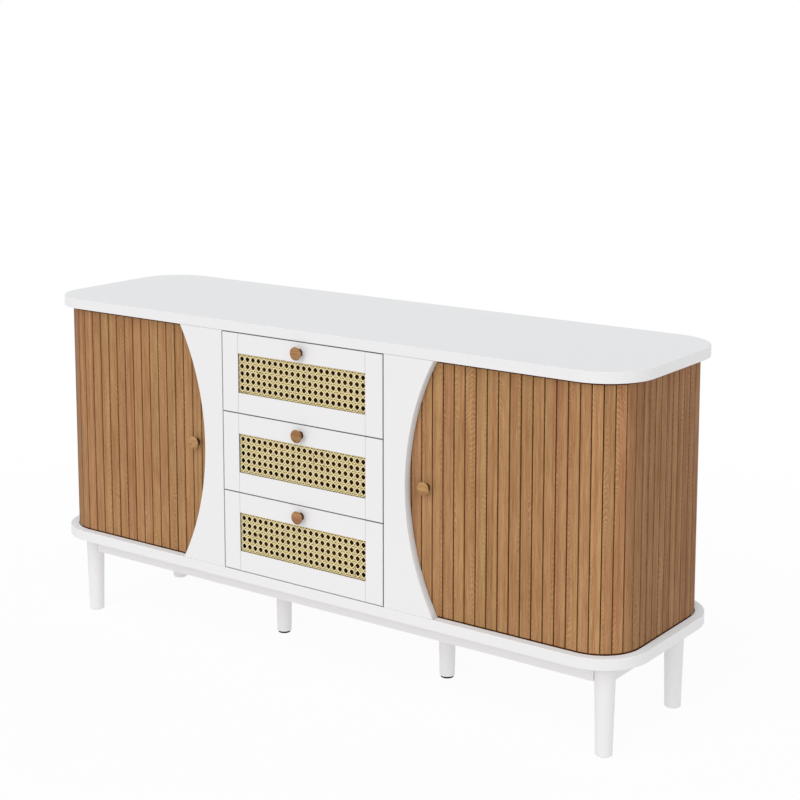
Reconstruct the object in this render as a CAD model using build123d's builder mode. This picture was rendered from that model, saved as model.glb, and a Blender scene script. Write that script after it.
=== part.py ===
from build123d import *
import os
from math import cos, radians, sin, tan

os.makedirs("parts", exist_ok=True)

# Overall size of the sideboard, from the floor up.
width = 1500.0
depth = 420.0
height = 750.0
corner_radius = 105.0
top_thickness = 22.0
base_thickness = 22.0
leg_height = 188.0
edge_round = 1.5

# Centre bay, with three drawers between two partitions.
bay_width = 425.0
board = 16.0
front_setback = 0.5
drawer_count = 3
drawer_gap = 2.5
drawer_side_gap = 3.0
joint_gap = 0.2

# Drawer fronts: a frame of stiles and rails around a cane window.
front_thickness = 18.0
frame_width = 42.5
window_lip = 3.0
rebate_margin = 7.0
cane_thickness = 1.5
cane_overlap = 6.0
cane_pitch = 15.15
cane_row_pitch = 15.45
cane_hole = 9.4

# Drawer boxes, hung on runner strips that slide in grooves.
box_back_room = 32.5
box_headroom = 37.0
box_wall = 12.0
box_lift = 12.0
box_clearance = 4.5
bottom_thickness = 4.0
runner_height = 11.4
runner_reach = 5.5
runner_play = 0.3
runner_start = 12.0

# Fixed panels with a hollow arched edge, in front of the doors.
arch_panel_thickness = 18.0
arch_panel_width = 119.0
arch_depth = 67.7

# Tambour doors: upright slats that run in a groove in the base and the top.
slat_setback = 19.5
slat_thickness = 8.0
slat_width = 25.3
corner_slat_width = 22.4
side_slat_width = 23.3
slat_tongue_base = 3.0
slat_gap = 0.4
slat_groove = 3.0
slat_ease = 0.8
lead_slats = 3
lead_offset = 103.6
track_depth = 6.0
track_play = 1.0
track_end_play = 0.3
track_lead_room = 6.0
cloth_thickness = 1.0
cloth_short = 2.0
batten_thickness = 10.0
batten_short = 12.0
batten_inset = 3.0

# Inner boards of the two side cupboards.
side_board_inset = 5.0
inner_play = 2.0
inner_back_thickness = 5.0
back_thickness = 6.0
back_gap = 0.5
back_end_gap = 1.0
shelf_side_gap = 1.0
shelf_front_gap = 6.0
pin_diameter = 6.0
pin_seat = 8.0
pin_reach = 9.0
pin_inset = 45.0
pin_fit = 0.1

# Turned knobs.
knob_diameter = 28.0
knob_standout = 17.0
knob_neck = 16.0
knob_head = 3.5
knob_flare = 2.0
knob_crown = 0.8
knob_ease = 1.2
knob_tenon = 8.0
knob_tenon_length = 12.0
knob_fit = 0.1

# Turned legs, aprons and levelling pads.
leg_inset_x = 71.0
leg_inset_y = 68.5
leg_top = 42.0
leg_foot = 33.0
leg_chamfer = 2.0
mid_leg_inset = 5.0
mid_leg_top = 37.5
mid_leg_foot = 32.0
apron_height = 44.0
apron_thickness = 20.0
apron_ahead = 11.0
apron_fit = 0.2
bolt_diameter = 8.0
bolt_in_leg = 26.0
bolt_in_base = 14.0
bolt_fit = 0.1
pad_diameter = 24.0
pad_height = 5.0
stem_length = 22.0
stem_play = 0.1

# Levels and planes worked out from the sizes above.
base_top = leg_height + base_thickness
top_under = height - top_thickness
opening_height = top_under - base_top
mid_height = base_top + opening_height / 2
cabinet_y = (knob_standout - front_setback) / 2
edge_y = cabinet_y - depth / 2
face_y = edge_y + front_setback
rear_y = cabinet_y + depth / 2
bay_half = bay_width / 2
partition_out = bay_half + board
slat_back_inset = slat_setback + slat_thickness
slat_face_y = edge_y + slat_setback
slat_back_y = edge_y + slat_back_inset
corner_x = width / 2 - corner_radius
corner_y = depth / 2 - corner_radius
arch_end = bay_half + arch_panel_width
lead_out = bay_half + lead_offset
front_slats = round((corner_x - lead_out) / slat_width)
slat_pitch = (corner_x - lead_out) / front_slats
lead_in = lead_out - lead_slats * slat_pitch
knob_slat_x = lead_out - slat_pitch / 2
tongue = track_depth - track_end_play
slat_length = opening_height + 2 * tongue
inner_front_y = slat_back_y + batten_thickness + inner_play
back_front_y = rear_y - slat_setback + back_gap
inner_back_y = rear_y - slat_back_inset - cloth_thickness - inner_play
side_board_x = corner_x - side_board_inset
shelf_top = mid_height + board / 2
drawer_width = bay_width - 2 * drawer_side_gap
drawer_height = (opening_height - (drawer_count + 1) * drawer_gap) / drawer_count
window_width = drawer_width - 2 * frame_width
window_height = drawer_height - 2 * frame_width
cane_columns = int(window_width / cane_pitch)
cane_rows = int(window_height / cane_row_pitch)
box_half = bay_half - box_clearance
box_front_y = face_y + front_thickness
box_back_y = back_front_y - box_back_room
box_height = drawer_height - box_lift - box_headroom
leg_x = width / 2 - leg_inset_x
leg_y = depth / 2 - leg_inset_y
mid_leg_x = partition_out - mid_leg_inset
apron_bottom = leg_height - apron_height
sides = (("left", -1), ("right", 1))


def keep(piece, name):
    """Label a finished piece and write its file."""
    piece.part.label = name
    export_step(piece.part, f"parts/{name}.step")


def box_at(low, high, mode=Mode.ADD):
    """A box between two opposite corners, given in either order."""
    size = [abs(b - a) for a, b in zip(low, high)]
    centre = [(a + b) / 2 for a, b in zip(low, high)]
    with Locations(tuple(centre)):
        Box(*size, mode=mode)


def outline(inset, mode=Mode.ADD):
    """The rounded outline of the top, drawn in by an inset."""
    with Locations((0, cabinet_y)):
        RectangleRounded(width - 2 * inset, depth - 2 * inset, corner_radius - inset, mode=mode)


def cut_track(level, amount):
    """The groove that the tambour runs in, round both ends of a panel."""
    with BuildSketch(Plane.XY.offset(level)) as track:
        outline(slat_setback - track_play)
        outline(slat_back_inset + track_play, mode=Mode.SUBTRACT)
        with Locations((0, cabinet_y)):
            Rectangle(2 * (lead_in - track_lead_room), depth, mode=Mode.SUBTRACT)
    extrude(track.sketch, amount=amount, mode=Mode.SUBTRACT)


def slat_section(base_width, face_width):
    """A slat's section, with its back on the local X axis and its face towards -Y."""
    with BuildSketch() as section:
        with Locations((0, -slat_tongue_base / 2)):
            Rectangle(base_width, slat_tongue_base)
        with Locations((0, -slat_thickness / 2)):
            Rectangle(face_width, slat_thickness)
        chamfer(section.vertices().group_by(Axis.Y)[0], slat_ease)
    return section.sketch


def flat_slats(pitch, places):
    """Upright slats of one pitch, at the given places in plan."""
    section = slat_section(pitch - slat_gap, pitch - slat_groove)
    with BuildSketch(Plane.XY.offset(base_top - tongue)) as plan:
        with Locations(*places):
            add(section)
    extrude(plan.sketch, amount=slat_length)


def knob(name, x, seat_y, z):
    """A turned knob on a tenon: a straight neck, and a flat head with a low crown."""
    tenon = knob_tenon / 2
    neck = knob_neck / 2
    rim = knob_diameter / 2
    face = rim - knob_ease
    head_back = knob_standout - knob_head
    head_edge = knob_standout - knob_crown
    crown_radius = (face ** 2 + knob_crown ** 2) / (2 * knob_crown)
    with BuildPart() as piece:
        with BuildSketch(Plane(origin=(x, seat_y, z), x_dir=(1, 0, 0), z_dir=(0, 0, 1))):
            with BuildLine():
                Polyline((0, knob_tenon_length), (tenon, knob_tenon_length), (tenon, 0), (neck, 0),
                         (neck, knob_flare - head_back), (rim, -head_back), (rim, knob_ease - head_edge),
                         (face, -head_edge))
                RadiusArc((face, -head_edge), (0, -knob_standout), crown_radius)
                Line((0, -knob_standout), (0, knob_tenon_length))
            make_face()
        revolve(axis=Axis((x, seat_y, z), (0, 1, 0)))
    keep(piece, name)


def cut_knob_hole(x, z, low_y, high_y):
    """A hole along Y for a knob's tenon."""
    with Locations(Location((x, (low_y + high_y) / 2, z), (90, 0, 0))):
        Cylinder(knob_tenon / 2 + knob_fit, high_y - low_y, mode=Mode.SUBTRACT)


# Top and base panels.
leg_spots = [(x, cabinet_y + y) for x in (-leg_x, leg_x) for y in (-leg_y, leg_y)]

with BuildPart() as top_panel:
    with BuildSketch(Plane.XY.offset(top_under)):
        outline(0)
    extrude(amount=top_thickness)
    fillet(top_panel.faces().sort_by(Axis.Z)[-1].edges(), edge_round)
    fillet(top_panel.faces().sort_by(Axis.Z)[0].edges(), edge_round / 2)
    cut_track(top_under, track_depth)
keep(top_panel, "top_panel")

with BuildPart() as base_panel:
    with BuildSketch(Plane.XY.offset(leg_height)):
        outline(0)
    extrude(amount=base_thickness)
    fillet(base_panel.faces().sort_by(Axis.Z)[-1].edges(), edge_round / 2)
    fillet(base_panel.faces().sort_by(Axis.Z)[0].edges(), edge_round / 2)
    cut_track(base_top, -track_depth)
    with BuildSketch(Plane.XY.offset(leg_height)):
        with Locations(*leg_spots):
            Circle(bolt_diameter / 2 + bolt_fit)
    extrude(amount=bolt_in_base, mode=Mode.SUBTRACT)
keep(base_panel, "base_panel")

# Fixed boards of the carcass, and the shelves.
pin_levels = shelf_top - board - pin_diameter / 2
pin_rows = (inner_front_y + pin_inset, inner_back_y - inner_back_thickness - pin_inset)


def cut_pin_holes(x, into):
    """Two holes for shelf pins, drilled into a board from one face."""
    for y in pin_rows:
        with Locations(Location((x + into / 2, y, pin_levels), (0, 90, 0))):
            Cylinder(pin_diameter / 2 + pin_fit, abs(into), mode=Mode.SUBTRACT)


for side, sign in sides:
    with BuildPart() as partition:
        box_at((sign * bay_half, face_y + arch_panel_thickness, base_top),
               (sign * partition_out, back_front_y, top_under))
        cut_pin_holes(sign * partition_out, -sign * pin_seat)
    keep(partition, f"{side}_partition")

    with BuildPart() as side_board:
        box_at((sign * side_board_x, inner_front_y, base_top),
               (sign * (side_board_x + board), inner_back_y, top_under))
        cut_pin_holes(sign * side_board_x, sign * pin_seat)
    keep(side_board, f"{side}_side_board")

    with BuildPart() as arch_panel:
        with BuildSketch(Plane.XZ.offset(-face_y)):
            with BuildLine():
                Polyline((sign * arch_end, top_under), (sign * bay_half, top_under),
                         (sign * bay_half, base_top), (sign * arch_end, base_top))
                ThreePointArc((sign * arch_end, base_top), (sign * (arch_end - arch_depth), mid_height),
                              (sign * arch_end, top_under))
            make_face()
        extrude(amount=-arch_panel_thickness)
    keep(arch_panel, f"{side}_arch_panel")

    with BuildPart() as inner_back:
        box_at((sign * partition_out, inner_back_y - inner_back_thickness, base_top),
               (sign * side_board_x, inner_back_y, top_under))
    keep(inner_back, f"{side}_inner_back")

    with BuildPart() as shelf:
        box_at((sign * (partition_out + shelf_side_gap), inner_front_y + shelf_front_gap, shelf_top - board),
               (sign * (side_board_x - shelf_side_gap), inner_back_y - inner_back_thickness, shelf_top))
    keep(shelf, f"{side}_shelf")

with BuildPart() as back_panel:
    box_at((-corner_x + back_end_gap, back_front_y, base_top),
           (corner_x - back_end_gap, back_front_y + back_thickness, top_under))
keep(back_panel, "back_panel")

with BuildPart() as shelf_pins:
    pin_ends = [(partition_out - pin_seat, partition_out + pin_reach),
                (side_board_x - pin_reach, side_board_x + pin_seat)]
    for side, sign in sides:
        for low, high in pin_ends:
            for y in pin_rows:
                with Locations(Location((sign * (low + high) / 2, y, pin_levels), (0, 90, 0))):
                    Cylinder(pin_diameter / 2, high - low)
keep(shelf_pins, "shelf_pins")

# Slats that wrap the two ends: front corner, side and rear corner.
quarter_turn = 90.0
slat_face_radius = corner_radius - slat_setback
corner_slats = round(slat_face_radius * radians(quarter_turn) / corner_slat_width)
corner_turn = quarter_turn / corner_slats
corner_half = tan(radians(corner_turn / 2))
corner_face = slat_face_radius * cos(radians(corner_turn / 2))
corner_back = corner_face - slat_thickness
corner_section = slat_section(2 * corner_back * corner_half - slat_gap, 2 * corner_face * corner_half - slat_groove)
side_slats = round(2 * corner_y / side_slat_width)
side_pitch = 2 * corner_y / side_slats
side_back_x = width / 2 - slat_back_inset


def corner_places(sign, centre_y, first_turn):
    """Places of the slats round one corner, each turned to face outwards."""
    places = []
    for index in range(corner_slats):
        turn = first_turn + (index + 0.5) * corner_turn
        x = corner_x + corner_back * sin(radians(turn))
        y = centre_y - corner_back * cos(radians(turn))
        places.append(Location((sign * x, y, 0), (0, 0, sign * turn)))
    return places


for side, sign in sides:
    side_places = [Location((sign * side_back_x, cabinet_y - corner_y + (index + 0.5) * side_pitch, 0),
                            (0, 0, sign * quarter_turn)) for index in range(side_slats)]
    corner_spots = corner_places(sign, cabinet_y - corner_y, 0)
    corner_spots += corner_places(sign, cabinet_y + corner_y, quarter_turn)
    with BuildPart() as end_slats:
        flat_slats(side_pitch, side_places)
        with BuildSketch(Plane.XY.offset(base_top - tongue)):
            with Locations(*corner_spots):
                add(corner_section)
        extrude(amount=slat_length)
    keep(end_slats, f"{side}_end_slats")

with BuildPart() as end_cloths:
    with BuildSketch(Plane.XY.offset(base_top + cloth_short)):
        outline(corner_radius - corner_back)
        outline(corner_radius - corner_back + cloth_thickness, mode=Mode.SUBTRACT)
        with Locations((0, cabinet_y)):
            Rectangle(2 * corner_x, depth, mode=Mode.SUBTRACT)
    extrude(amount=opening_height - 2 * cloth_short)
keep(end_cloths, "end_cloths")

# Tambour doors: a stiff lead section with the knob, then slats on a cloth.
for side, sign in sides:
    lead_places = [Location((sign * (lead_in + (index + 0.5) * slat_pitch), slat_back_y, 0))
                   for index in range(lead_slats)]
    front_places = [Location((sign * (lead_out + (index + 0.5) * slat_pitch), slat_back_y, 0))
                    for index in range(front_slats)]
    knob_x = sign * knob_slat_x

    with BuildPart() as lead:
        flat_slats(slat_pitch, lead_places)
        cut_knob_hole(knob_x, mid_height, slat_face_y, slat_back_y)
    keep(lead, f"{side}_lead_slats")

    with BuildPart() as run:
        flat_slats(slat_pitch, front_places)
    keep(run, f"{side}_front_slats")

    with BuildPart() as cloth:
        box_at((sign * lead_out, slat_back_y, base_top + cloth_short),
               (sign * (corner_x - cloth_thickness), slat_back_y + cloth_thickness, top_under - cloth_short))
    keep(cloth, f"{side}_front_cloth")

    with BuildPart() as batten:
        box_at((sign * (lead_in + batten_inset), slat_back_y, base_top + batten_short),
               (sign * (lead_out - batten_inset), slat_back_y + batten_thickness, top_under - batten_short))
        cut_knob_hole(knob_x, mid_height, slat_back_y, slat_face_y + knob_tenon_length)
    keep(batten, f"{side}_lead_batten")

    knob(f"{side}_door_knob", knob_x, slat_face_y, mid_height)

# Drawers, from the top down.
runner_level = box_lift + box_height / 2
drawer_names = ("top", "middle", "bottom")
drawer_floors = [top_under - (index + 1) * (drawer_height + drawer_gap) for index in range(drawer_count)]

for name, floor in zip(drawer_names, drawer_floors):
    centre_z = floor + drawer_height / 2
    rail_z = floor + drawer_height - frame_width / 2
    half = drawer_width / 2
    window_half = window_width / 2

    with BuildPart() as frame:
        for sign in (-1, 1):
            box_at((sign * half, face_y, floor),
                   (sign * window_half, box_front_y, floor + drawer_height))
            box_at((-window_half + joint_gap, face_y, centre_z + sign * window_height / 2),
                   (window_half - joint_gap, box_front_y, centre_z + sign * drawer_height / 2))
        box_at((-window_half - rebate_margin, face_y + window_lip, centre_z - window_height / 2 - rebate_margin),
               (window_half + rebate_margin, box_front_y, centre_z + window_height / 2 + rebate_margin),
               mode=Mode.SUBTRACT)
        cut_knob_hole(0, rail_z, face_y, box_front_y)
    keep(frame, f"{name}_drawer_frame")

    with BuildPart() as cane:
        with BuildSketch(Plane.XZ.offset(-face_y - window_lip)):
            with Locations((0, centre_z)):
                Rectangle(window_width + 2 * cane_overlap, window_height + 2 * cane_overlap)
                with GridLocations(cane_pitch, cane_row_pitch, cane_columns, cane_rows):
                    RegularPolygon(cane_hole / 2, 8, major_radius=False, mode=Mode.SUBTRACT)
        extrude(amount=-cane_thickness)
    keep(cane, f"{name}_drawer_cane")

    box_low = floor + box_lift
    box_high = box_low + box_height
    with BuildPart() as box:
        box_at((-box_half, box_front_y, box_low), (box_half, box_front_y + box_wall, box_high))
        box_at((-box_half, box_back_y - box_wall, box_low), (box_half, box_back_y, box_high))
        for sign in (-1, 1):
            box_at((sign * box_half, box_front_y + box_wall + joint_gap, box_low),
                   (sign * (box_half - box_wall), box_back_y - box_wall - joint_gap, box_high))
            box_at((sign * box_half, box_front_y + box_wall, floor + runner_level - runner_height / 2 - runner_play),
                   (sign * (box_half - runner_reach - runner_play), box_back_y,
                    floor + runner_level + runner_height / 2 + runner_play), mode=Mode.SUBTRACT)
    keep(box, f"{name}_drawer_box")

    with BuildPart() as bottom:
        box_at((-box_half, box_front_y, box_low - bottom_thickness), (box_half, box_back_y, box_low))
    keep(bottom, f"{name}_drawer_bottom")

    knob(f"{name}_drawer_knob", 0, face_y, rail_z)

with BuildPart() as runners:
    for floor in drawer_floors:
        for sign in (-1, 1):
            box_at((sign * bay_half, box_front_y + box_wall + runner_start,
                    floor + runner_level - runner_height / 2),
                   (sign * (box_half - runner_reach), box_back_y, floor + runner_level + runner_height / 2))
keep(runners, "drawer_runners")

# Legs, aprons and the rails that carry the middle legs.
corner_legs = [(f"{end}_{side}_leg", sign * leg_x, cabinet_y + turn * leg_y)
               for end, turn in (("front", -1), ("rear", 1)) for side, sign in sides]

for name, x, y in corner_legs:
    with BuildPart() as leg:
        with Locations((x, y, 0)):
            Cone(leg_foot / 2, leg_top / 2, leg_height, align=(Align.CENTER, Align.CENTER, Align.MIN))
        chamfer(leg.edges().group_by(Axis.Z)[0], leg_chamfer)
        with Locations((x, y, leg_height - bolt_in_leg)):
            Cylinder(bolt_diameter / 2 + bolt_fit, bolt_in_leg, mode=Mode.SUBTRACT,
                     align=(Align.CENTER, Align.CENTER, Align.MIN))
    keep(leg, name)

with BuildPart() as leg_bolts:
    with BuildSketch(Plane.XY.offset(leg_height - bolt_in_leg)):
        with Locations(*leg_spots):
            Circle(bolt_diameter / 2)
    extrude(amount=bolt_in_leg + bolt_in_base)
keep(leg_bolts, "leg_bolts")


def cut_leg_seats():
    """Rounded ends that fit an apron to the legs."""
    for x, y in leg_spots:
        with Locations((x, y, leg_height / 2)):
            Cylinder(leg_top / 2 + apron_fit, leg_height, mode=Mode.SUBTRACT)


for end, turn in (("front", -1), ("rear", 1)):
    outer_y = cabinet_y + turn * (leg_y + apron_ahead)
    with BuildPart() as apron:
        box_at((-leg_x, outer_y, apron_bottom), (leg_x, outer_y - turn * apron_thickness, leg_height))
        cut_leg_seats()
    keep(apron, f"{end}_apron")

apron_inner_y = leg_y + apron_ahead - apron_thickness
for side, sign in sides:
    outer_x = sign * (leg_x + apron_ahead)
    with BuildPart() as apron:
        box_at((outer_x, cabinet_y - leg_y, apron_bottom),
               (outer_x - sign * apron_thickness, cabinet_y + leg_y, leg_height))
        cut_leg_seats()
    keep(apron, f"{side}_apron")

    with BuildPart() as cross_rail:
        box_at((sign * mid_leg_x - apron_thickness / 2, cabinet_y - apron_inner_y, apron_bottom),
               (sign * mid_leg_x + apron_thickness / 2, cabinet_y + apron_inner_y, leg_height))
    keep(cross_rail, f"{side}_cross_rail")

    with BuildPart() as mid_leg:
        with Locations((sign * mid_leg_x, cabinet_y, pad_height)):
            Cone(mid_leg_foot / 2, mid_leg_top / 2, apron_bottom - pad_height,
                 align=(Align.CENTER, Align.CENTER, Align.MIN))
            Cylinder(bolt_diameter / 2 + stem_play, stem_length + stem_play, mode=Mode.SUBTRACT,
                     align=(Align.CENTER, Align.CENTER, Align.MIN))
    keep(mid_leg, f"{side}_mid_leg")

    with BuildPart() as pad:
        with Locations((sign * mid_leg_x, cabinet_y, 0)):
            Cylinder(pad_diameter / 2, pad_height - stem_play, align=(Align.CENTER, Align.CENTER, Align.MIN))
            Cylinder(bolt_diameter / 2, pad_height + stem_length,
                     align=(Align.CENTER, Align.CENTER, Align.MIN))
    keep(pad, f"{side}_levelling_pad")
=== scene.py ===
# %% [markdown]
# # A sideboard with slatted sliding doors
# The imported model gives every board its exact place. This lesson dresses it: it adds the slats, the knobs,
# the woven cane and the cloth behind the slats, and gives each surface a finish made of shader nodes.

# %% Load the frame
import math
import bpy
import numpy as np
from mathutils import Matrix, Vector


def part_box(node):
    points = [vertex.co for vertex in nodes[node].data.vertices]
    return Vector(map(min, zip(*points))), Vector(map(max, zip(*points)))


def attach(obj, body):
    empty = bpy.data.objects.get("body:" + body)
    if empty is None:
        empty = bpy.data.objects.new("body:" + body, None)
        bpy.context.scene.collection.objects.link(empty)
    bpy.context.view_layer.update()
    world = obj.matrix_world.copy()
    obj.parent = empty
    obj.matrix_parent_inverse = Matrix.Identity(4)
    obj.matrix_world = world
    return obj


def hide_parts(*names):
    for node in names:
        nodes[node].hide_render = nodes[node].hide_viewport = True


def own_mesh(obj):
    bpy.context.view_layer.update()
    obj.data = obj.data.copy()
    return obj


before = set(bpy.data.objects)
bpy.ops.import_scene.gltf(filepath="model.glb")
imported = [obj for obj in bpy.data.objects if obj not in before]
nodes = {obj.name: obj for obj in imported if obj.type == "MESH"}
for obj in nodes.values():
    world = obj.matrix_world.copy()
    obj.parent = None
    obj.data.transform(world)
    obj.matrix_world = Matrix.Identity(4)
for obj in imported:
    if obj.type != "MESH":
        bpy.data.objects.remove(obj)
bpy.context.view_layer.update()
scene = bpy.context.scene
scene.view_settings.view_transform = "Standard"
SIDES = (("left", -1), ("right", 1))
DRAWERS = ("top", "middle", "bottom")

# %% [markdown]
# ## The camera
# The sideboard is seen from its front right, from a little above. A long lens keeps its upright edges nearly
# parallel. Most product cameras are kept level and shifted, so that uprights stay upright. Here most of that shift is
# turned into a small tilt, because a camera that is moved to another side keeps its shift.

# %% Place the camera
TILT, SWING = 8.202, 36.029  # degrees down from level, and round from the front
camera = bpy.data.objects.new("camera", bpy.data.cameras.new("camera"))
scene.collection.objects.link(camera)
camera.location = (2.1508, -2.8112, 1.3895)
camera.rotation_euler = (math.radians(90 - TILT), 0, math.radians(SWING))
camera.data.sensor_width = 36
camera.data.lens = 76.154
camera.data.shift_y = -0.18
scene.camera = camera
print("camera lens:", camera.data.lens)

# %% [markdown]
# ## Writing shader nodes briefly
# A material is a graph. These few helpers add a node, set it and link it in one line, so that each finish below reads
# like a recipe. Colours are written as they look on a screen, from 0 to 255, and turned into light values.


# %% Helpers for shader graphs
def paint(red, green, blue):
    """A screen colour as linear light: ((c + 0.055) / 1.055) ** 2.4, or c / 12.92 for the darkest tones."""
    c = np.array([red, green, blue]) / 255
    light = np.where(c > 0.04045, ((c + 0.055) / 1.055) ** 2.4, c / 12.92)
    return (*light.tolist(), 1.0)


def put(tree, kind, feeds=None, **settings):
    """Add a node, set its properties, and give its inputs a value or a link."""
    made = tree.nodes.new("ShaderNode" + kind)
    for name, value in settings.items():
        setattr(made, name, value)
    for key, value in (feeds or {}).items():
        if isinstance(value, bpy.types.NodeSocket):
            tree.links.new(value, made.inputs[key])
        else:
            made.inputs[key].default_value = value
    return made


def maths(tree, operation, *terms):
    """One arithmetic step, as an output socket."""
    return put(tree, "Math", dict(enumerate(terms)), operation=operation).outputs[0]


def stretched(tree, place, x, y, z):
    """A place multiplied by a scale for each axis, so that a pattern is long one way and fine the other."""
    return put(tree, "VectorMath", {0: place, 1: (x, y, z)}, operation="MULTIPLY").outputs[0]


def noise(tree, place, seed, scale=1.0, detail=2.0, rough=0.5):
    """Smooth noise from 0 to 1. The seed is its fourth coordinate, so each piece gets its own pattern."""
    feeds = {"Vector": place, "W": seed, "Scale": scale, "Detail": detail, "Roughness": rough}
    return put(tree, "TexNoise", feeds, noise_dimensions="4D").outputs["Fac"]


def step(tree, value, low, high):
    """A soft threshold, from 0 at low to 1 at high."""
    feeds = {"Value": value, "From Min": low, "From Max": high}
    return put(tree, "MapRange", feeds, interpolation_type="SMOOTHSTEP").outputs[0]


def spread(tree, value, low, high):
    """A value from 0 to 1 spread evenly from low to high."""
    return put(tree, "MapRange", {"Value": value, "To Min": low, "To Max": high}).outputs[0]


def mixed(tree, share, first, painted_colour, how="MIX"):
    """Two colours mixed by a share from 0 to 1."""
    return put(tree, "Mix", {0: share, 6: first, 7: painted_colour}, data_type="RGBA", blend_type=how).outputs[2]


def stored(tree, label, output):
    """A value that the mesh keeps on its points, as an output socket."""
    return put(tree, "Attribute", attribute_name=label).outputs[output]


print("a mid grey of 128 is", round(paint(128, 128, 128)[0], 3), "of full light")


# %% Helpers for groups and materials
def new_group(name, takes, gives):
    """An empty node group with named sockets. Returns its tree, its inputs and its output node."""
    tree = bpy.data.node_groups.new(name, "ShaderNodeTree")
    for direction, sockets in (("INPUT", takes), ("OUTPUT", gives)):
        for label, kind in sockets.items():
            tree.interface.new_socket(label, in_out=direction, socket_type="NodeSocket" + kind)
    return tree, tree.nodes.new("NodeGroupInput").outputs, tree.nodes.new("NodeGroupOutput").inputs


def use_group(tree, group, feeds):
    """Place a group in a material with its own values."""
    return put(tree, "Group", feeds, node_tree=group)


def new_material(name):
    """A material with its shader. Returns the material, its tree and the shader."""
    material = bpy.data.materials.new(name)
    material.use_nodes = True
    return material, material.node_tree, material.node_tree.nodes["Principled BSDF"]


def bump(tree, shader, height, depth):
    """Small relief on a shader, with its height from 0 to 1 standing for a depth in metres."""
    made = put(tree, "Bump", {"Height": height, "Strength": 1.0, "Distance": depth})
    tree.links.new(made.outputs[0], shader.inputs["Normal"])


def wear(node, material):
    """Give a CAD node one finish."""
    node.data.materials.clear()
    node.data.materials.append(material)


print("materials so far:", len(bpy.data.materials))

# %% [markdown]
# ## Studio light and floor
# The picture has an even white ground and soft light from the front, so the slats are a little darker under the top
# and round the right end. An even world lights everything, and three wide suns add the direction: a high one in
# front, a lower one in front that reaches the legs under the cabinet, and a weak one that fills the right end. Area
# lamps could do this too, but their light falls off with distance, and a sun's doesn't.
# The ground looks white to the camera alone: the light it throws on the sideboard stays plain, and its own share of
# diffuse colour keeps a faint shadow under the legs. That share fades out with the distance, so no horizon shows.


# %% World
def seen_directly(tree):
    """1 for rays from the camera, mirrors or glass, and 0 for the light that falls on surfaces."""
    path = put(tree, "LightPath").outputs
    mirrored = maths(tree, "MAXIMUM", path["Is Glossy Ray"], path["Is Transmission Ray"])
    return maths(tree, "MAXIMUM", path["Is Camera Ray"], mirrored)


AMBIENT, COOL, WHITE = 0.63, (0.955, 1.0, 1.02, 1), (1, 1, 1, 1)  # strength and tint on surfaces, and plain white
world = bpy.data.worlds.new("studio")
scene.world = world
world.use_nodes = True
tree = world.node_tree
background = tree.nodes["Background"].inputs
seen = seen_directly(tree)
tree.links.new(spread(tree, seen, AMBIENT, 1.0), background["Strength"])
tree.links.new(mixed(tree, seen, COOL, WHITE), background["Color"])
print("world gives", AMBIENT, "of white light")

# %% Suns
SUN_COLOUR, SUN_WIDTH = (1.0, 0.97, 0.97), 38  # the width of the sun's disc in degrees, for soft shadows
# Name, strength, and degrees of tilt from overhead and of swing round from the front.
suns = (("key_light", 0.40, 35, 0), ("front_light", 0.55, 65, 0), ("fill_light", 0.33, 60, 60))
for name, energy, tilt, swing in suns:
    sun = bpy.data.objects.new(name, bpy.data.lights.new(name, "SUN"))
    scene.collection.objects.link(sun)
    sun.data.energy = energy
    sun.data.color = SUN_COLOUR
    sun.data.angle = math.radians(SUN_WIDTH)
    sun.rotation_euler = (math.radians(tilt), 0, math.radians(swing))
print("suns:", [name for name, *_ in suns])

# %% Floor
FLOOR_LIGHT, WARM = 0.82, (1.0, 0.965, 0.97, 1)
SHADOW_NEAR, SHADOW_FAR = 0.7, 2.4  # metres from the middle between which the shadow fades out
GLOW_NEAR, GLOW_UNSEEN = 0.92, 0.78  # share of the ground's own light near the middle, and for light on surfaces
FLOOR_REACH = 30.0
floor_material, tree, shader = new_material("floor")
shader.inputs["Base Color"].default_value = paint(252, 252, 252)
shader.inputs["Roughness"].default_value = 0.9
seen = seen_directly(tree)
strength = spread(tree, seen, FLOOR_LIGHT, 1.0)
glow = put(tree, "Emission", {"Color": mixed(tree, seen, WARM, WHITE), "Strength": strength})
place = put(tree, "TexCoord").outputs["Object"]
away = put(tree, "VectorMath", {0: place}, operation="LENGTH").outputs["Value"]
glowing = put(tree, "MapRange", {"Value": away, "From Min": SHADOW_NEAR, "From Max": SHADOW_FAR,
                                 "To Min": GLOW_NEAR, "To Max": 1.0}).outputs[0]
share = spread(tree, seen, GLOW_UNSEEN, glowing)
ground = put(tree, "MixShader", {0: share, 1: shader.outputs[0], 2: glow.outputs[0]})
tree.links.new(ground.outputs[0], tree.nodes["Material Output"].inputs["Surface"])
floor_mesh = bpy.data.meshes.new("floor")
corners = [(-FLOOR_REACH, -FLOOR_REACH, 0), (FLOOR_REACH, -FLOOR_REACH, 0),
           (FLOOR_REACH, FLOOR_REACH, 0), (-FLOOR_REACH, FLOOR_REACH, 0)]
floor_mesh.from_pydata(corners, [], [(0, 1, 2, 3)])
floor_mesh.materials.append(floor_material)
floor = bpy.data.objects.new("floor", floor_mesh)
scene.collection.objects.link(floor)
print("floor reaches", FLOOR_REACH, "m")

# %% [markdown]
# ## Shared effects
# Three effects come back in several finishes, so each is a node group. A slow drift of tone keeps a wide surface from
# looking printed. A fine stipple is the orange peel of sprayed paint, or the grain of moulded plastic. Timber is
# worked out as a saw sees it: growth rings are cones about a pith, and a board is a flat cut through them, which
# gives straight lines far from the pith and arches near it.

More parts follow.
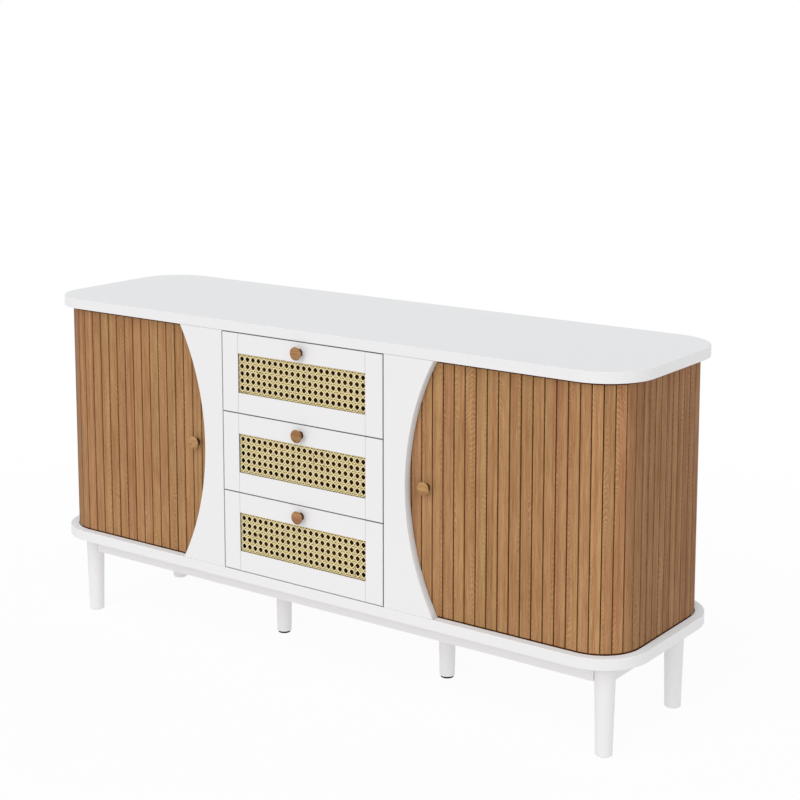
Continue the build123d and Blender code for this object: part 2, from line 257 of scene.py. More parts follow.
# %% Node group: slow drift of tone
drift, take, give = new_group(
    "tone_drift", {"Place": "Vector", "Colour": "Color", "Scale": "Float", "Amount": "Float"},
    {"Colour": "Color", "Drift": "Float"})
slow = noise(drift, take["Place"], 0.0, take["Scale"], 3.0, 0.55)
centred = maths(drift, "SUBTRACT", slow, 0.5)
gain = maths(drift, "MULTIPLY_ADD", centred, take["Amount"], 1.0)
scaled = put(drift, "VectorMath", {0: take["Colour"], "Scale": gain}, operation="SCALE")
drift.links.new(scaled.outputs[0], give["Colour"])
drift.links.new(slow, give["Drift"])
print("group:", drift.name)

# %% Node group: fine stipple
stipple, take, give = new_group("fine_stipple", {"Place": "Vector", "Scale": "Float"}, {"Height": "Float"})
broad = noise(stipple, take["Place"], 1.0, take["Scale"], 1.0)
fine_scale = maths(stipple, "MULTIPLY", take["Scale"], 3.1)
fine = noise(stipple, take["Place"], 2.0, fine_scale, 2.0)
stipple.links.new(maths(stipple, "MULTIPLY_ADD", fine, 0.4, broad), give["Height"])
print("group:", stipple.name)

# %% [markdown]
# The timber group takes a place on the board in metres: X across, Y through its thickness and Z along it. Each
# board's seed picks how far the pith lies to the side, where along the board the cut passes it and how fast the cut
# leans away from it. The ring number is the distance to the pith over the ring gap, bent by noise. Each ring is brown
# with a thin pale rim. Fibres, slow streaks and short dark pores lie over the rings.

# %% Node group: timber, the rings
PITH_NEAR, PITH_SPAN = 0.007, 0.018  # metres to the side
LEAN_LEAST, LEAN_SPAN = 0.085, 0.06  # metres away from the pith for each metre along
PASS_LEAST, PASS_SPAN = 0.15, 0.65  # metres along
RING_BEND, RING_STRAY = 0.007, 3.0  # metres, and rings
timber, take, give = new_group(
    "timber", {"Place": "Vector", "Seed": "Float", "Ring gap": "Float", "Light": "Color", "Dark": "Color",
               "Figure": "Float", "Pores": "Float"},
    {"Colour": "Color", "Height": "Float", "Tone": "Float", "Streak": "Float"})
place, seed = take["Place"], take["Seed"]
chance = put(timber, "TexWhiteNoise", {"W": seed}, noise_dimensions="1D").outputs["Color"]
chance = put(timber, "SeparateColor", {0: chance}).outputs
across, _, along = put(timber, "SeparateXYZ", {0: place}).outputs
which = maths(timber, "SUBTRACT", chance[0], 0.5)
nearest = maths(timber, "MULTIPLY", maths(timber, "SIGN", which), PITH_NEAR)
pith = maths(timber, "MULTIPLY_ADD", which, PITH_SPAN, nearest)
lean = maths(timber, "MULTIPLY_ADD", chance[1], LEAN_SPAN, LEAN_LEAST)
start = maths(timber, "MULTIPLY_ADD", chance[2], PASS_SPAN, PASS_LEAST)
bend = maths(timber, "SUBTRACT", noise(timber, stretched(timber, place, 40, 40, 7), seed, 1.0, 1.5), 0.5)
side = maths(timber, "SUBTRACT", across, pith)
rise = maths(timber, "MULTIPLY", maths(timber, "SUBTRACT", along, start), lean)
rise = maths(timber, "MULTIPLY_ADD", bend, RING_BEND, rise)
square = maths(timber, "ADD", maths(timber, "MULTIPLY", side, side), maths(timber, "MULTIPLY", rise, rise))
rings = maths(timber, "DIVIDE", maths(timber, "SQRT", square), take["Ring gap"])
uneven = noise(timber, stretched(timber, place, 90, 90, 24), seed, 1.0, 2.0)
rings = maths(timber, "MULTIPLY_ADD", uneven, RING_STRAY, rings)
wave = maths(timber, "SINE", maths(timber, "MULTIPLY", rings, 2 * math.pi))
RIM_POWER, RIM_MEAN = 4.0, 0.23  # the power that thins a rim, and what is taken off to keep the board's mean tone
band = maths(timber, "POWER", maths(timber, "MULTIPLY_ADD", wave, -0.5, 0.5), RIM_POWER)
print("ring nodes:", len(timber.nodes))

# %% Node group: timber, fibres and pores over the rings
# The stretches are about waves a metre: across, through and along the board.
fibre = noise(timber, stretched(timber, place, 600, 600, 22), seed, 1.0, 4.0, 0.6)
streak = noise(timber, stretched(timber, place, 150, 150, 1.3), seed, 1.0, 2.0)
cloud = noise(timber, stretched(timber, place, 38, 38, 7), seed, 1.0, 2.0)
clear = maths(timber, "MULTIPLY", take["Figure"], step(timber, maths(timber, "ADD", cloud, uneven), 0.75, 1.25))
tone = maths(timber, "MULTIPLY_ADD", maths(timber, "SUBTRACT", band, RIM_MEAN), clear, 0.5)
for pattern, weight in ((fibre, 1.6), (streak, 0.9), (cloud, 0.6)):
    tone = maths(timber, "MULTIPLY_ADD", maths(timber, "SUBTRACT", pattern, 0.5), weight, tone)
tone = put(timber, "Clamp", {0: tone}).outputs[0]
wood = mixed(timber, tone, take["Dark"], take["Light"])
pore = step(timber, noise(timber, stretched(timber, place, 2600, 2600, 60), seed, 1.0, 1.0), 0.62, 0.74)
pore = maths(timber, "MULTIPLY", pore, take["Pores"])
wood = mixed(timber, pore, wood, take["Dark"], "MULTIPLY")
timber.links.new(wood, give["Colour"])
timber.links.new(maths(timber, "SUBTRACT", maths(timber, "MULTIPLY", fibre, 0.6), pore), give["Height"])
timber.links.new(tone, give["Tone"])
timber.links.new(streak, give["Streak"])
print("group:", timber.name, len(timber.nodes), "nodes")

# %% [markdown]
# ## White lacquer
# The boards, aprons and legs are sprayed with satin white. Real lacquer isn't one colour: it drifts by a percent or
# so and its surface has a shallow orange peel that softens the highlights. The boards keep their CAD shape. On most
# of them a Weld joins their loose triangles, and a small Bevel eases the edges, which also makes the fine lines where
# two boards meet.

# %% Lacquer
COAT = paint(239, 238, 238)


def sprayed(name):
    """White with a slow drift of tone and an orange peel. Returns its material, tree, shader, place and drift."""
    material, tree, shader = new_material(name)
    place = put(tree, "TexCoord").outputs["Object"]
    white = use_group(tree, drift, {"Place": place, "Colour": COAT, "Scale": 3.0, "Amount": 0.03})
    peel = use_group(tree, stipple, {"Place": place, "Scale": 420.0})
    bump(tree, shader, peel.outputs["Height"], 0.00004)
    return material, tree, shader, place, white.outputs


lacquer, tree, shader, _, white = sprayed("white_lacquer")
tree.links.new(white["Colour"], shader.inputs["Base Color"])
tree.links.new(spread(tree, white["Drift"], 0.36, 0.50), shader.inputs["Roughness"])
print("lacquer nodes:", len(tree.nodes))


# %% Boards that take the lacquer
def ease(node, width):
    """Join a board's loose triangles and round its edges by a small width."""
    weld = node.modifiers.new("weld", "WELD")
    weld.merge_threshold = 0.00002
    bevel = node.modifiers.new("ease", "BEVEL")
    bevel.width = width
    bevel.segments = 2
    bevel.limit_method = "ANGLE"
    bevel.angle_limit = math.radians(40)
    bevel.harden_normals = True


boards = ["top_panel", "base_panel"]
turned = [f"{end}_{side}_leg" for end in ("front", "rear") for side, _ in SIDES]
turned += ["left_mid_leg", "right_mid_leg"]
eased = [f"{side}_{part}" for side, _ in SIDES
         for part in ("partition", "side_board", "arch_panel", "shelf", "apron", "cross_rail")]
eased += ["front_apron", "rear_apron"] + [f"{name}_drawer_frame" for name in DRAWERS]
for name in boards + turned + eased:
    wear(nodes[name], lacquer)
for name in eased:
    ease(nodes[name], 0.0006)
print("lacquered pieces:", len(boards + turned + eased))

# %% [markdown]
# The gaps round the drawer fronts read as thin dark lines. They are painted shade: behind the face, the outer edges
# get about half of a dark shade colour, and the rim of the cane window gets all of it. The arched panels get painted
# shade at the ends that stand on the base and under the top, which draws a hairline along each joint. The base gets
# painted light, a whiter colour, on its upper side. Thin dark pieces could draw these lines, but a finish that mixes
# two colours by a mask of the place needs no extra piece and follows every edge.

# %% Where the painted shade and light go
CANE_OVERLAP = 0.006
face_y, back_face_y = (corner.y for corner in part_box("top_drawer_frame"))
window_low, window_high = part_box("middle_drawer_cane")
stile_x = window_high.x - CANE_OVERLAP
window_z = (window_low.z + window_high.z) / 2
window_half = (window_high.z - window_low.z) / 2 - CANE_OVERLAP
drawer_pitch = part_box("top_drawer_cane")[0].z - window_low.z
joint_low, joint_high = (corner.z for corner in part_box("left_arch_panel"))
print("front face at y =", round(face_y, 5), "panels from", round(joint_low, 3), "to", round(joint_high, 3))

# %% Masks for the painted shade and light
OUTER_EDGE, JOINT_SHADE = 0.5, 0.35  # share of painted shade at the outer edges and where stile and rail meet
# Where each mask starts and ends, in metres: behind the face, before the back, round the window, beside the joint of
# stile and rail, from the ends of a panel, and under the top of the base.
FACE, BACK, ROUND_WINDOW, STILE = (0.0009, 0.0017), (0.0012, 0.0006), (0.004, 0.008), (0.0002, 0.0006)
HAIRLINE, LEDGE = (0.0005, 0.0002), (0.0012, 0.0004)


def painted_gap_shade(tree, place):
    """Painted shade on a drawer front behind its face: all of it round the window, part at its outer edges and
    joints.
    """
    behind = maths(tree, "SUBTRACT", step(tree, place[1], face_y + FACE[0], face_y + FACE[1]),
                   step(tree, place[1], back_face_y - BACK[0], back_face_y - BACK[1]))
    beside = maths(tree, "SUBTRACT", maths(tree, "ABSOLUTE", place[0]), stile_x)
    above = maths(tree, "SUBTRACT", place[2], window_z)
    above = maths(tree, "WRAP", above, drawer_pitch / 2, -drawer_pitch / 2)
    above = maths(tree, "SUBTRACT", maths(tree, "ABSOLUTE", above), window_half)
    outside = step(tree, maths(tree, "MAXIMUM", beside, above), *ROUND_WINDOW)
    coats = maths(tree, "MULTIPLY_ADD", outside, OUTER_EDGE - 1.0, 1.0)
    joint = maths(tree, "SUBTRACT", 1.0, step(tree, maths(tree, "ABSOLUTE", beside), *STILE))
    return maths(tree, "MAXIMUM", maths(tree, "MULTIPLY", behind, coats),
                 maths(tree, "MULTIPLY", joint, JOINT_SHADE))


def painted_joint_shade(tree, place):
    """1 within a hair of the joints with the top and the base, where a line of shade is painted."""
    away = maths(tree, "ABSOLUTE", maths(tree, "SUBTRACT", place[2], (joint_low + joint_high) / 2))
    half = (joint_high - joint_low) / 2
    return step(tree, away, half - HAIRLINE[0], half - HAIRLINE[1])


def painted_ledge_light(tree, place):
    """1 on the upper side of the base, which gets painted light."""
    return step(tree, place[2], joint_low - LEDGE[0], joint_low - LEDGE[1])


print("window rim", round(window_half * 2000, 1), "mm high")

# %% Fronts, panels and base with painted shade and light
# Painted shade for the gaps, window rims and joints, and painted light for the upper side of the base.
PAINTED_SHADE, PAINTED_LIGHT = paint(40, 39, 38), paint(252, 251, 251)


def lacquer_with_painted_shading(name, mask, painted_colour):
    """White lacquer mixed with a second colour where a mask of the tree and the place says so: painted shade or
    light.
    """
    material, tree, shader, place, white = sprayed(name)
    painted_share = mask(tree, put(tree, "SeparateXYZ", {0: place}).outputs)
    tree.links.new(mixed(tree, painted_share, white["Colour"], painted_colour), shader.inputs["Base Color"])
    tree.links.new(maths(tree, "MULTIPLY_ADD", painted_share, 0.3, 0.42), shader.inputs["Roughness"])
    return material


front_paint = lacquer_with_painted_shading("white_lacquer_front", painted_gap_shade, PAINTED_SHADE)
panel_paint = lacquer_with_painted_shading("white_lacquer_panel", painted_joint_shade, PAINTED_SHADE)
wear(nodes["base_panel"], lacquer_with_painted_shading("white_lacquer_base", painted_ledge_light, PAINTED_LIGHT))
for name in DRAWERS:
    wear(nodes[f"{name}_drawer_frame"], front_paint)
for side, _ in SIDES:
    wear(nodes[f"{side}_arch_panel"], panel_paint)
print("pieces with two coats:", 1 + len(DRAWERS) + len(SIDES))

# %% [markdown]
# ## Building meshes from arrays
# Every new piece is a grid of points worked out with numpy: a profile carried along a path or round an axis. One
# helper turns such a grid into a mesh. It can close the grid round its profile, cap its two ends, and store values on
# the points that a finish reads back, such as the place along a slat.


# %% Helpers for faces
def grid_faces(rows, columns, closed, hoop=False):
    """Four-sided faces between neighbours in a grid, which wraps its columns if closed and its rows in a hoop."""
    r = np.arange(rows if hoop else rows - 1)[:, None]
    c = np.arange(columns if closed else columns - 1)[None, :]
    n, up = (c + 1) % columns, (r + 1) % rows
    return np.stack([r * columns + c, r * columns + n, up * columns + n, up * columns + c], -1).reshape(-1, 4)


def bar_faces(rows, ring):
    """Walls and two caps of a bar: rows of a ring that runs clockwise, seen from its last row."""
    last = (rows - 1) * ring
    caps = np.stack([np.arange(ring), np.arange(last + ring - 1, last - 1, -1)])
    return grid_faces(rows, ring, True)[:, ::-1], caps


def repeated(faces, copies, points):
    """The same faces for several copies of a shape that has that many points."""
    return (faces[None] + (np.arange(copies) * points)[:, None, None]).reshape(-1, faces.shape[1])


print("faces of a 3 by 4 grid:", len(grid_faces(3, 4, False)))


# %% Helper: from arrays to a piece
def piece(name, points, face_sets, material, body, values=None, crease=35):
    """A mesh from an array of points and arrays of faces, with values on its points. It rides on a body."""
    mesh = bpy.data.meshes.new(name)
    points = np.asarray(points, float).reshape(-1, 3)
    loops = np.concatenate([f.ravel() for f in face_sets]).astype(np.int32)
    sizes = np.concatenate([np.full(len(f), f.shape[1]) for f in face_sets]).astype(np.int32)
    mesh.vertices.add(len(points))
    mesh.vertices.foreach_set("co", points.ravel())
    mesh.loops.add(len(loops))
    mesh.loops.foreach_set("vertex_index", loops)
    mesh.polygons.add(len(sizes))
    mesh.polygons.foreach_set("loop_start", np.concatenate([[0], np.cumsum(sizes)[:-1]]).astype(np.int32))
    mesh.polygons.foreach_set("use_smooth", np.ones(len(sizes), bool))
    mesh.update(calc_edges=True)
    mesh.validate()
    mesh.set_sharp_from_angle(angle=math.radians(crease))
    for label, value in (values or {}).items():
        value = np.asarray(value, float)
        is_vector = value.shape[-1] == 3 and value.size == points.size
        kind, key = ("FLOAT_VECTOR", "vector") if is_vector else ("FLOAT", "value")
        mesh.attributes.new(label, kind, "POINT").data.foreach_set(key, value.ravel())
    mesh.materials.append(material)
    made = bpy.data.objects.new(name, mesh)
    scene.collection.objects.link(made)
    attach(made, body)
    print(f"{name}: {len(points)} points, {len(sizes)} faces")
    return made


# %% [markdown]
# ## Slats
# The doors are tambours: narrow oak slats glued to a cloth, which slides in a groove and can follow a corner. The
# oak takes its tone, its figure and a small change of hue from the slat that it is on, as sawn timber differs from
# board to board. A stored tone and shade add painted shade and light on some slats and knobs, told below. Light that
# bounces off the oak is kept greyer, so the white boards beside the doors don't turn orange.

# %% Oak
BOUNCE_SHARE, BOUNCE_GREY = 0.6, paint(140, 138, 136)
oak, tree, shader = new_material("oak")
place, seed = stored(tree, "place", "Vector"), stored(tree, "seed", "Fac")
# Both stored values carry painted shade and light: shade darkens the walls of the grooves, and tone, besides the
# knobs' own tones, shades the slats round the ends, darkens the tongues and knob necks and lightens the knob tops.
shade, tone = stored(tree, "shade", "Fac"), stored(tree, "tone", "Fac")
grain = use_group(tree, timber, {"Place": place, "Seed": seed, "Ring gap": 0.0013, "Light": paint(198, 153, 110),
                                 "Dark": paint(144, 101, 60), "Figure": 0.6, "Pores": 0.45}).outputs
pick = put(tree, "TexWhiteNoise", {"W": maths(tree, "ADD", seed, 40.5)}, noise_dimensions="1D").outputs["Color"]
pick = put(tree, "SeparateColor", {0: pick}).outputs
hue = spread(tree, pick[0], 0.4965, 0.5045)
hue = maths(tree, "MULTIPLY_ADD", maths(tree, "SUBTRACT", grain["Streak"], 0.5), 0.05, hue)
redder = put(tree, "MapRange", {"Value": tone, "From Min": 0.75, "From Max": 1.0, "To Min": -0.006, "To Max": 0.0})
hue = maths(tree, "ADD", hue, redder.outputs[0])
value = maths(tree, "MULTIPLY", spread(tree, pick[1], 0.94, 1.05), tone)
varied = put(tree, "HueSaturation", {"Hue": hue, "Value": value, "Color": grain["Colour"]}).outputs[0]
varied = mixed(tree, shade, varied, paint(224, 176, 124), "MULTIPLY")
bounced = maths(tree, "MULTIPLY", put(tree, "LightPath").outputs["Is Diffuse Ray"], BOUNCE_SHARE)
varied = mixed(tree, bounced, varied, BOUNCE_GREY)
tree.links.new(varied, shader.inputs["Base Color"])
tree.links.new(spread(tree, grain["Tone"], 0.56, 0.44), shader.inputs["Roughness"])
shader.inputs["Specular IOR Level"].default_value = 0.04
bump(tree, shader, grain["Height"], 0.0001)
print("oak nodes:", len(tree.nodes))

# %% [markdown]
# Each slat is one profile carried straight up: a wide thin foot that meets its neighbours, and a narrower face with
# eased edges, so that a dark groove shows between two faces. Its two ends are cut back to thin tongues that run in
# the grooves of the base and the top, and the shoulders above them show as a dark line. The tongues and the walls of
# the grooves get painted shade. The slats could be copies of one mesh, but then each would need its own object to
# look different. Instead one array holds all the slats of a run, and a seed and a place on each point tell the finish
# which slat it is on.

# %% Section of a slat
FOOT, THICK, EASED = 0.003, 0.008, 0.0009  # metres: height of the foot, height of the face, radius of its edges


def slat_profile(foot, face):
    """Half widths along a slat's section and heights above its back: a foot, a step in, a wall and a rounded edge."""
    turn = np.linspace(0, np.pi / 2, 4)
    width = np.concatenate([[foot, foot, face], face - EASED + EASED * np.cos(turn)])
    height = np.concatenate([[0, FOOT, FOOT], THICK - EASED + EASED * np.sin(turn)])
    half = np.stack([width, height], -1)
    return np.concatenate([half, half[::-1] * (-1, 1)])


print("points in a section:", len(slat_profile(THICK, THICK)))

# %% Slats as one array
LOW, HIGH = (corner.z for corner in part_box("left_front_slats"))
SHOULDER_LOW, SHOULDER_HIGH = joint_low + 0.0028, joint_high - 0.0068
TONGUE_WIDTH, TONGUE_DEPTH, TONGUE_SHADE = 0.97, 0.4, 0.6  # shares of the slat's own width and depth, and the tongues' tone, painted shade under the shoulders
SHADED = THICK - 0.0012  # metres above the back, below which the edges get painted shade
SEED_STEP = 1.37


def slats(name, body, spots, turns, feet, faces, first_seed, tones=1.0):
    """Upright slats at spots in plan, each turned about Z: p = spot + R(turn) (u, -d), swept from low to high."""
    count = len(spots)
    section = np.stack([slat_profile(foot, face) for foot, face in zip(feet, faces)])
    levels = np.array([LOW, SHOULDER_LOW, SHOULDER_LOW, SHOULDER_HIGH, SHOULDER_HIGH, HIGH])
    tongue = np.array([True, True, False, False, True, True])[None, :, None]
    shape = (count, len(levels), section.shape[1])
    u, d = (np.where(tongue, section[:, None, :, axis] * share, section[:, None, :, axis])
            for axis, share in enumerate((TONGUE_WIDTH, TONGUE_DEPTH)))
    z = np.broadcast_to(levels[None, :, None], shape)
    cos, sin = np.cos(turns)[:, None, None], np.sin(turns)[:, None, None]
    x = spots[:, :1, None] + u * cos + d * sin
    y = spots[:, 1:, None] + u * sin - d * cos
    seed = np.broadcast_to((first_seed + np.arange(count) * SEED_STEP)[:, None, None], shape)
    tone = np.where(tongue, TONGUE_SHADE, np.broadcast_to(tones, count)[:, None, None]) * np.ones(shape)
    values = {"place": np.stack([u, d, z], -1), "seed": seed, "shade": d < SHADED, "tone": tone}
    each = shape[1] * shape[2]
    face_sets = [repeated(part, count, each) for part in bar_faces(*shape[1:])]
    return piece(name, np.stack([x, y, z], -1), face_sets, oak, body, values)


print("shoulders mm:", round(SHOULDER_LOW * 1000, 1), "to", round(SHOULDER_HIGH * 1000, 1))

# %% [markdown]
# The three lead slats carry the knob and slide as they are. The slats beside them would run round the corner, which a
# plain slide can't show. Here they ride on the door too, and each run gets a mesh of its own.

# %% Front slats
lead_low, lead_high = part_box("right_lead_slats")
run_low, run_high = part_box("right_front_slats")
back_y = lead_high.y
gap, groove, corner_groove = 0.0004, 0.003, 0.0023
lead_count, run_count = 3, 13
lead_pitch = (lead_high.x - lead_low.x + gap) / lead_count
run_pitch = (run_high.x - run_low.x + gap) / run_count
run_start = run_low.x - gap / 2
# Part, start, pitch, count and first seed.
runs = (("lead", lead_low.x - gap / 2, lead_pitch, lead_count, 3.1), ("front", run_start, run_pitch, run_count, 11.7))
for side, sign in SIDES:
    for part, low, pitch, count, first in runs:
        centre = sign * (low + (np.arange(count) + 0.5) * pitch)
        spots = np.stack([centre, np.full(count, back_y)], -1)
        made = slats(f"{side}_{part}_slats_oak", f"{side}_door", spots, np.zeros(count),
                     np.full(count, (pitch - gap) / 2), np.full(count, (pitch - groove) / 2), first + 57 * sign)
        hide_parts(f"{side}_{part}_slats")
        if part == "front":
            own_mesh(made)
print("front pitch mm:", round(run_pitch * 1000, 2))

# %% [markdown]
# Round the corners the slats stand on a polygon of fifteen degree steps, and along the ends they stand straight.
# Their spots come from the same corner radius that the groove in the base has.

# %% Places of the slats round an end
end_low, end_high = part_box("right_end_slats")
corner_x = run_high.x + gap / 2
corner_steps, side_steps = 6, 9
half_step = math.pi / 4 / corner_steps
face_radius = 0.0855
corner_face = face_radius * math.cos(half_step)
corner_back = corner_face - THICK
middle_y = (end_low.y + end_high.y) / 2
corner_y = 0.105
side_pitch = 2 * corner_y / side_steps
front_turns = (np.arange(corner_steps) + 0.5) * 2 * half_step
turns = np.concatenate([front_turns, np.full(side_steps, math.pi / 2), front_turns + math.pi / 2])
arc = np.stack([np.sin(turns), -np.cos(turns)], -1) * corner_back
heart = np.where(turns < math.pi / 2, -corner_y, corner_y)
spots = np.stack([corner_x + arc[:, 0], middle_y + heart + arc[:, 1]], -1)
sides = slice(corner_steps, corner_steps + side_steps)
spots[sides, 0] = end_high.x - THICK
spots[sides, 1] = middle_y - corner_y + (np.arange(side_steps) + 0.5) * side_pitch
feet = np.full(len(turns), corner_back * math.tan(half_step) - gap / 2)
faces = np.full(len(turns), corner_face * math.tan(half_step) - corner_groove / 2)
feet[sides], faces[sides] = (side_pitch - gap) / 2, (side_pitch - groove) / 2
print("slats round an end:", len(spots))

# %% [markdown]
# The slats that turn away from the front get painted shade, a little darker than soft light alone makes them, so
# each gets a tone. On the left they darken from the first step of the corner, and on the right only near the end of
# it, where the first slats get a little painted light.


# %% Slats round the ends
def turn_shading(first, last, start, width):
    """Painted shade and light by how far a slat turns from front or back, in radians: a step from first to last."""
    share = np.clip((np.minimum(turns, np.pi - turns) - start) / width, 0, 1)
    return first + (last - first) * share ** 2 * (3 - 2 * share)


end_shading = {"left": turn_shading(0.97, 0.75, 0.05, 0.35), "right": turn_shading(1.03, 0.78, 0.85, 0.45)}
for side, sign in SIDES:
    made = slats(f"{side}_end_slats_oak", "cabinet", spots * (sign, 1), turns * sign, feet, faces,
                 200.3 + 90 * sign, end_shading[side])
    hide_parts(f"{side}_end_slats")

# %% [markdown]
# ## Knobs
# The knobs are turned from the same oak: a neck on the door, and a head whose rounded rim runs into a low dome. A
# lathe is a profile carried round an axis, so the whole knob is one formula of a profile step and an angle. The neck
# is darkened as painted shade, and the head gets painted light towards its top.

# %% Profile of a knob
REACH = 0.017


def knob_profile():
    """Radius and reach along a knob, from its seat to its face: a neck, a flare, a rounded rim and a dome.

    The rim's arc stops at the dome's slope, so the dome is reach = REACH - bend r^2 with 2 bend r = tan(tilt) there.
    """
    rim, ease, tilt = 0.014, 0.0015, 0.28
    turn = np.linspace(0, np.pi / 2 - tilt, 6)
    rounded = rim - ease + ease * np.cos(turn)
    bend = math.tan(tilt) / (2 * rounded[-1])
    edge = REACH - bend * rounded[-1] ** 2 - ease * math.sin(turn[-1])
    dome = np.array([0.0105, 0.008, 0.0055, 0.003])
    radius = np.concatenate([[0.0083, 0.0079, 0.0079, 0.0083, 0.0118, 0.0136], rounded, dome])
    reach = np.concatenate([[0, 0.0008, 0.0106, 0.0112, 0.0122, 0.0128], edge + ease * np.sin(turn),
                            REACH - bend * dome ** 2])
    return radius, reach


print("knob diameter mm:", round(2000 * knob_profile()[0].max(), 1))

# %% Turned knobs
NECK, NECK_SHADE = 0.0125, 0.25  # reach of the neck, which is darkened as painted shade
PAINTED_LIGHT_UP = 11  # painted light: share by which the head gets lighter for each metre up
DOOR_TONE, DRAWER_TONE = 1.05, 0.87


def knob(name, body, x, seat_y, z, seed, tone):
    """A knob turned about Y: (x + r cos a, seat - reach, z + r sin a), closed at the middle of its face."""
    radius, reach = knob_profile()
    angle = np.linspace(0, 2 * np.pi, 48, endpoint=False)
    round_x = radius[:, None] * np.cos(angle)
    round_z = radius[:, None] * np.sin(angle)
    depth = np.broadcast_to(reach[:, None], round_x.shape)
    local = np.concatenate([np.stack([round_x, depth, round_z], -1).reshape(-1, 3), [[0, REACH, 0]]])
    points = local * (1, -1, 1) + (x, seat_y, z)
    ring = len(angle)
    last = (len(radius) - 1) * ring
    index = np.arange(ring)
    fan = np.stack([last + index, last + (index + 1) % ring, np.full(ring, last + ring)], -1)
    seat = index[None, ::-1]
    values = {"place": local[:, ::-1] * 0.5, "seed": np.full(len(points), seed), "shade": np.zeros(len(points)),
              "tone": np.where(local[:, 1] < NECK, NECK_SHADE, tone * (1 + PAINTED_LIGHT_UP * local[:, 2]))}
    return piece(name, points, [grid_faces(len(radius), ring, True), fan, seat], oak, body, values, 50)


bodies = ["left_door", "right_door"] + [f"{name}_drawer" for name in DRAWERS]
for number, body in enumerate(bodies):
    node = f"{body}_knob"
    low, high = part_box(node)
    made = knob(f"{node}_oak", body, (low.x + high.x) / 2, low.y + REACH, (low.z + high.z) / 2, 321.5 + 4.1 * number,
                DOOR_TONE if "door" in body else DRAWER_TONE)
    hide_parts(node)

# %% [markdown]
# ## Woven cane
# Cane webbing is woven from strips of rattan bark: upright and level pairs, and two sets of diagonals that leave
# eight sided holes. A picture of it on a flat sheet would look dead, so each strip is a ribbon with a crowned face.
# Its finish has fine fibres, a darker rim and knots, with painted highlights where strips lie on top and painted
# shade where they dip underneath.

# %% Cane finish
cane, tree, shader = new_material("cane")
place, seed = stored(tree, "place", "Vector"), stored(tree, "seed", "Fac")
pick = put(tree, "TexWhiteNoise", {"W": seed}, noise_dimensions="1D").outputs["Value"]
fibre = noise(tree, stretched(tree, place, 1500, 1, 30), seed, 1.0, 2.0)
patch = noise(tree, stretched(tree, place, 60, 1, 40), seed, 1.0, 2.0)
tone = maths(tree, "MULTIPLY_ADD", fibre, 0.5, maths(tree, "MULTIPLY_ADD", patch, 0.5, -0.25))
tone = maths(tree, "MULTIPLY_ADD", pick, 0.6, tone)
straw = mixed(tree, tone, paint(252, 225, 148), paint(255, 251, 204))
# Painted highlights where the strips lie on top, and painted shade where they dip under, on the grid of holes.
column, _, row = put(tree, "SeparateXYZ", {0: stored(tree, "grid", "Vector")}).outputs
column, row = (maths(tree, "COSINE", maths(tree, "MULTIPLY", part, 2 * math.pi)) for part in (column, row))
column, row = (maths(tree, "MULTIPLY_ADD", part, 0.5, 0.5) for part in (column, row))
painted_highlight = maths(tree, "MULTIPLY", column, row)
painted_dip_shade = maths(tree, "SUBTRACT", column, painted_highlight)
straw = mixed(tree, maths(tree, "MULTIPLY", painted_dip_shade, 0.4), straw, paint(188, 155, 76))
straw = mixed(tree, maths(tree, "MULTIPLY", painted_highlight, 0.6), straw, paint(255, 252, 222))
over = put(tree, "SeparateXYZ", {0: place}).outputs[0]
rim = step(tree, maths(tree, "ABSOLUTE", over), 0.00056, 0.00088)
straw = mixed(tree, rim, straw, paint(190, 145, 58))
knot = step(tree, noise(tree, stretched(tree, place, 1, 1, 24), seed, 1.0, 0.0), 0.70, 0.80)
straw = mixed(tree, knot, straw, paint(178, 146, 88))
tree.links.new(straw, shader.inputs["Base Color"])
shader.inputs["Roughness"].default_value = 0.42
bump(tree, shader, fibre, 0.00008)
print("cane nodes:", len(tree.nodes))

# %% [markdown]
# A ribbon is a small crowned section carried along a line in the window. The uprights and the level strips run
# straight through. The diagonals pass over the uprights and under the level pairs, or the other way round, on a
# cosine with one wave for each hole, so they need many points along them and the others only two.

# %% Ribbons of cane
# Section of a strip: to the side in half widths, and out in crowns.
STRIP = np.array([(-1, 0), (-0.62, 0.8), (0, 1), (0.62, 0.8), (1, 0), (0, -0.12)])
HALF_WIDTH, CROWN = 0.00084, 0.00035
SHORTEST = 0.004  # metres of height that a diagonal needs to be worth a strip


def ribbons(start, end, lift, samples):
    """Strips between start and end points in the window plane: p = line(t) + s n + (lift(t) + crown c) out."""
    t = np.linspace(0, 1, samples)[None, :, None]
    line = start[:, None] * (1 - t) + end[:, None] * t
    run = end - start
    length = np.linalg.norm(run, axis=-1)
    normal = np.stack([-run[:, 1], run[:, 0]], -1) / length[:, None]
    side = STRIP[:, 0] * HALF_WIDTH
    flat = line[:, :, None] + normal[:, None, None] * side[None, None, :, None]
    out = lift(line)[..., None] + CROWN * STRIP[:, 1]
    points = np.stack([flat[..., 0], out, flat[..., 1]], -1)
    along = np.broadcast_to(t * length[:, None, None], out.shape)
    return points, np.stack([np.broadcast_to(side, out.shape), out * 0, along], -1)


def clipped(offset, slope, half_x, half_z):
    """Ends of the diagonals x = offset + slope z inside a window of half sizes."""
    reach = np.sort(np.stack([(-half_x - offset) / slope, (half_x - offset) / slope]), axis=0)
    z = np.stack([np.maximum(-half_z, reach[0]), np.minimum(half_z, reach[1])])
    keep = z[1] - z[0] > SHORTEST
    ends = np.stack([offset + slope * z, z], -1)[:, keep]
    return ends[0], ends[1]


print("strip width mm:", HALF_WIDTH * 2000)

# %% Strips of one window
PITCH, ROW_PITCH, PAIR = 0.01515, 0.01545, 0.0017  # metres between holes across and up, and from a pair's middle
LAYER, DIAGONAL_LIFT, DIAGONAL_WAVE = 0.00035, 0.00015, 0.0005  # metres out of the sheet's middle plane


